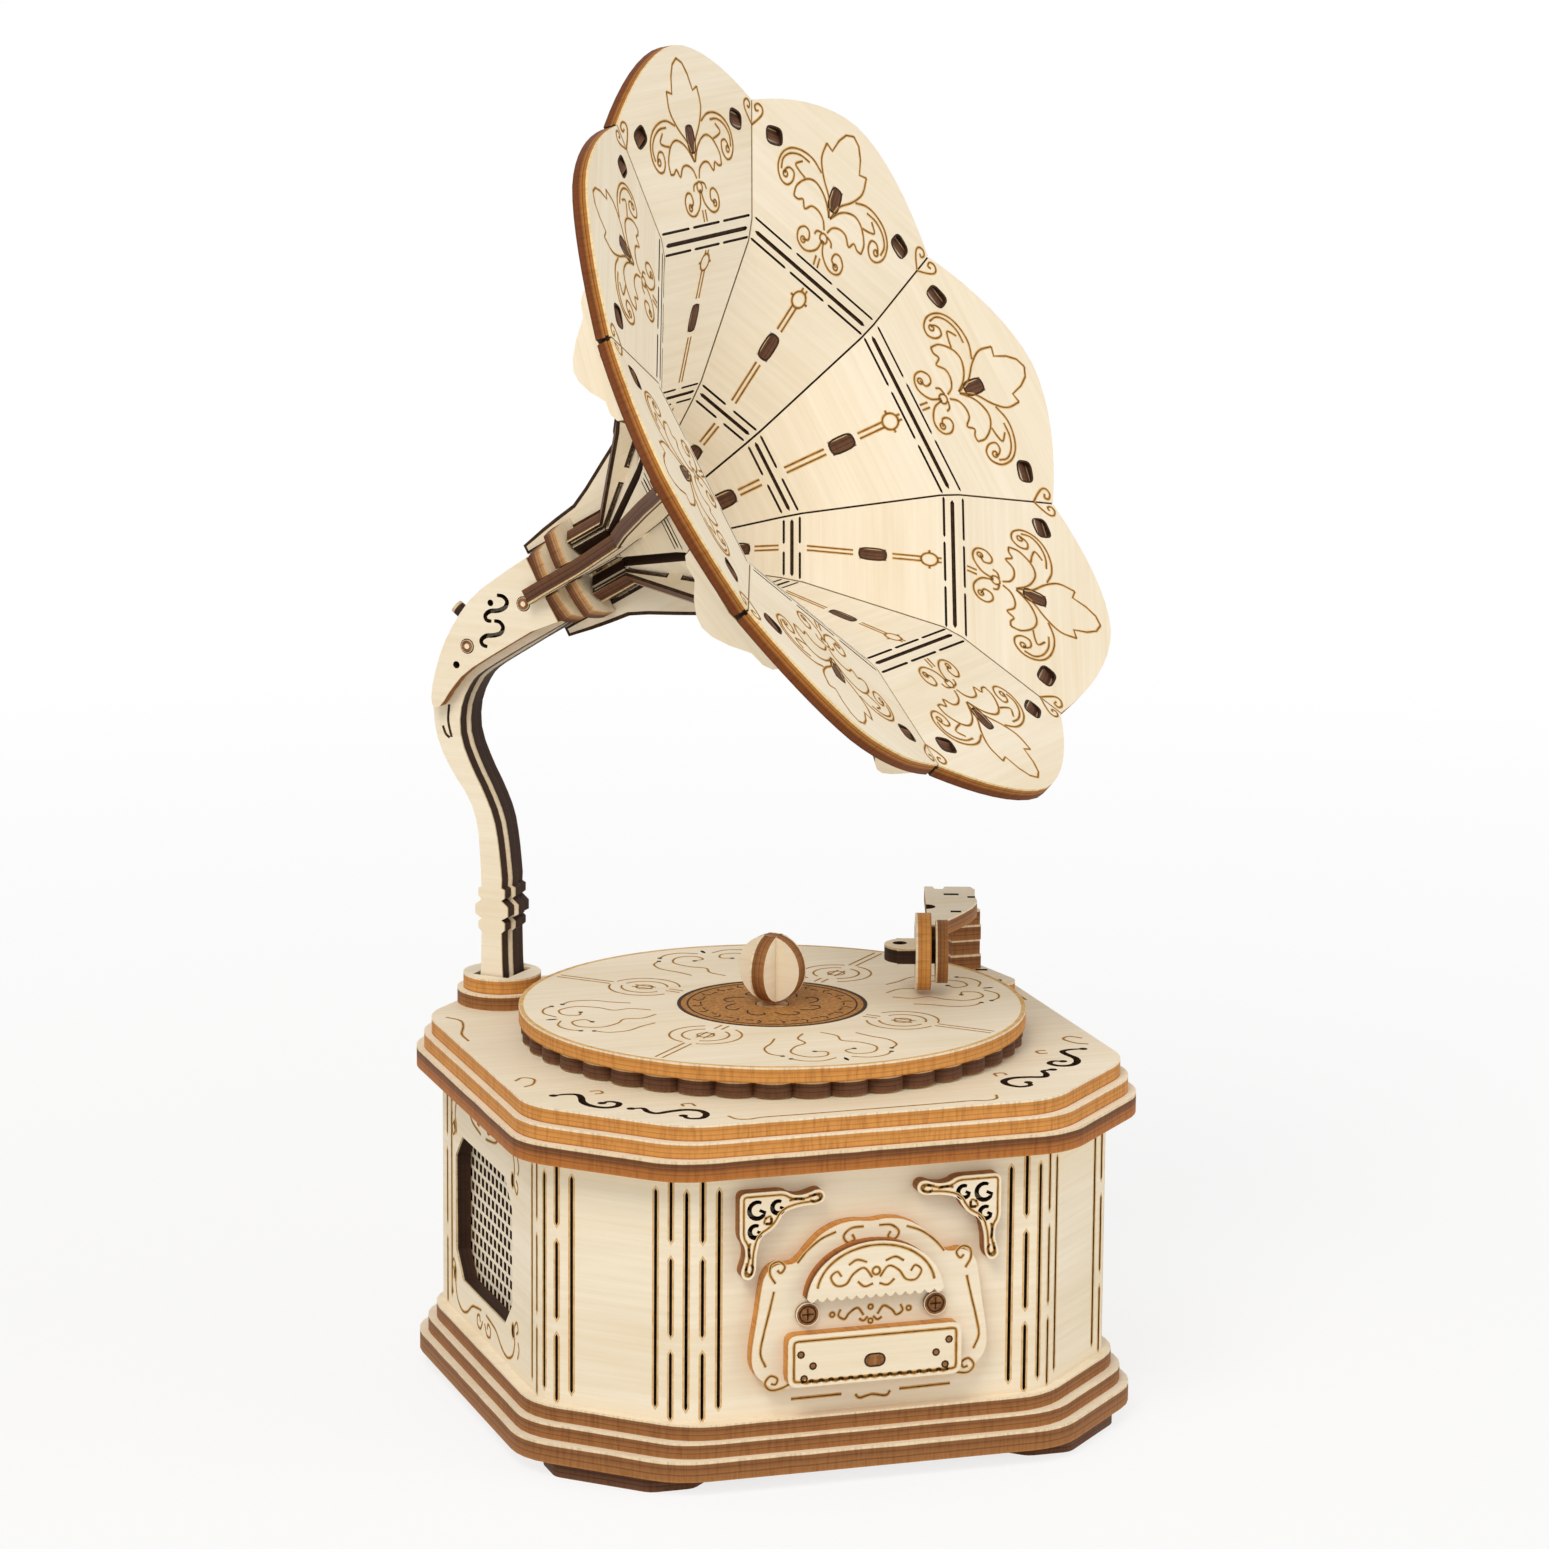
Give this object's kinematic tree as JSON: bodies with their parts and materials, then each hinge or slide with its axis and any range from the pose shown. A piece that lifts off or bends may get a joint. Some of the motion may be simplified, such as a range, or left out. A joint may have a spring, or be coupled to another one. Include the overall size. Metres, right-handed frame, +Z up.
{
  "type": "horn gramophone model",
  "caption": "Wooden laser-cut model of a horn gramophone: octagonal box, spinning turntable, swinging tonearm, S-shaped neck and an eight-petal horn.",
  "frame": {"origin": "on the table that the feet stand on, under the middle of the part's bounds seen from above; the turntable's axis stands 3.4077 mm towards -X and 3.4077 mm towards +Y of it", "axes": "+Z up along the turntable's axis, -Y is the front with the plaque, +X to the right seen from the front; the horn opens towards +X and -Y"},
  "size_m": [0.0892, 0.0892, 0.1735],
  "materials": {
    "plywood": "bare basswood plywood, laser-cut edges toasted brown, lines burnt in",
    "dowel": "bare sanded dowel"
  },
  "bodies": {
    "cabinet": {"foot_front_left": "plywood", "foot_front_right": "plywood", "foot_rear_left": "plywood", "foot_rear_right": "plywood", "base_plate_lower": "plywood", "base_plate_middle": "plywood", "base_plate_upper": "plywood", "wall_wrap_front": "plywood", "wall_wrap_rear": "plywood", "grille_left": "plywood", "grille_right": "plywood", "lid_plate_lower": "plywood", "lid_plate_middle": "plywood", "lid_plate_upper": "plywood", "front_plaque": "plywood", "front_arch": "plywood", "front_drawer_panel": "plywood", "corner_bracket_left": "plywood", "corner_bracket_right": "plywood", "neck_base_lower": "plywood", "neck_base_upper": "plywood", "neck_plate_left": "plywood", "neck_plate_middle": "plywood", "neck_plate_right": "plywood", "elbow_cover_left": "plywood", "elbow_cover_right": "plywood", "collar_ring_rear": "plywood", "collar_ring_front": "plywood", "horn_rib_1": "plywood", "horn_rib_2": "plywood", "horn_rib_3": "plywood", "horn_rib_4": "plywood", "horn_rib_5": "plywood", "horn_rib_6": "plywood", "horn_rib_7": "plywood", "horn_rib_8": "plywood", "horn_gore_1": "plywood", "horn_gore_2": "plywood", "horn_gore_3": "plywood", "horn_gore_4": "plywood", "horn_gore_5": "plywood", "horn_gore_6": "plywood", "horn_gore_7": "plywood", "horn_gore_8": "plywood", "petal_bridge_1": "plywood", "petal_bridge_2": "plywood", "petal_bridge_3": "plywood", "petal_bridge_4": "plywood", "petal_bridge_5": "plywood", "petal_bridge_6": "plywood", "petal_bridge_7": "plywood", "petal_bridge_8": "plywood", "tonearm_base": "plywood"},
    "turntable": {"turntable_disc": "plywood", "turntable_rim": "plywood", "turntable_axle": "dowel", "turntable_knob": "plywood"},
    "tonearm": {"tonearm_post": "plywood", "tonearm_arm": "plywood", "tonearm_sound_box": "plywood"}
  },
  "joints": [
    {"name": "turntable_spin", "type": "hinge", "parent": "cabinet", "child": "turntable", "pos_m": [-0.00341, 0.00341, 0.047], "axis": [0, 0, 1], "continuous": true},
    {"name": "tonearm_swing", "type": "hinge", "parent": "cabinet", "child": "tonearm", "pos_m": [0.02959, 0.02341, 0.049], "axis": [0, 0, 1], "range_deg": [-18, 38]}
  ]
}
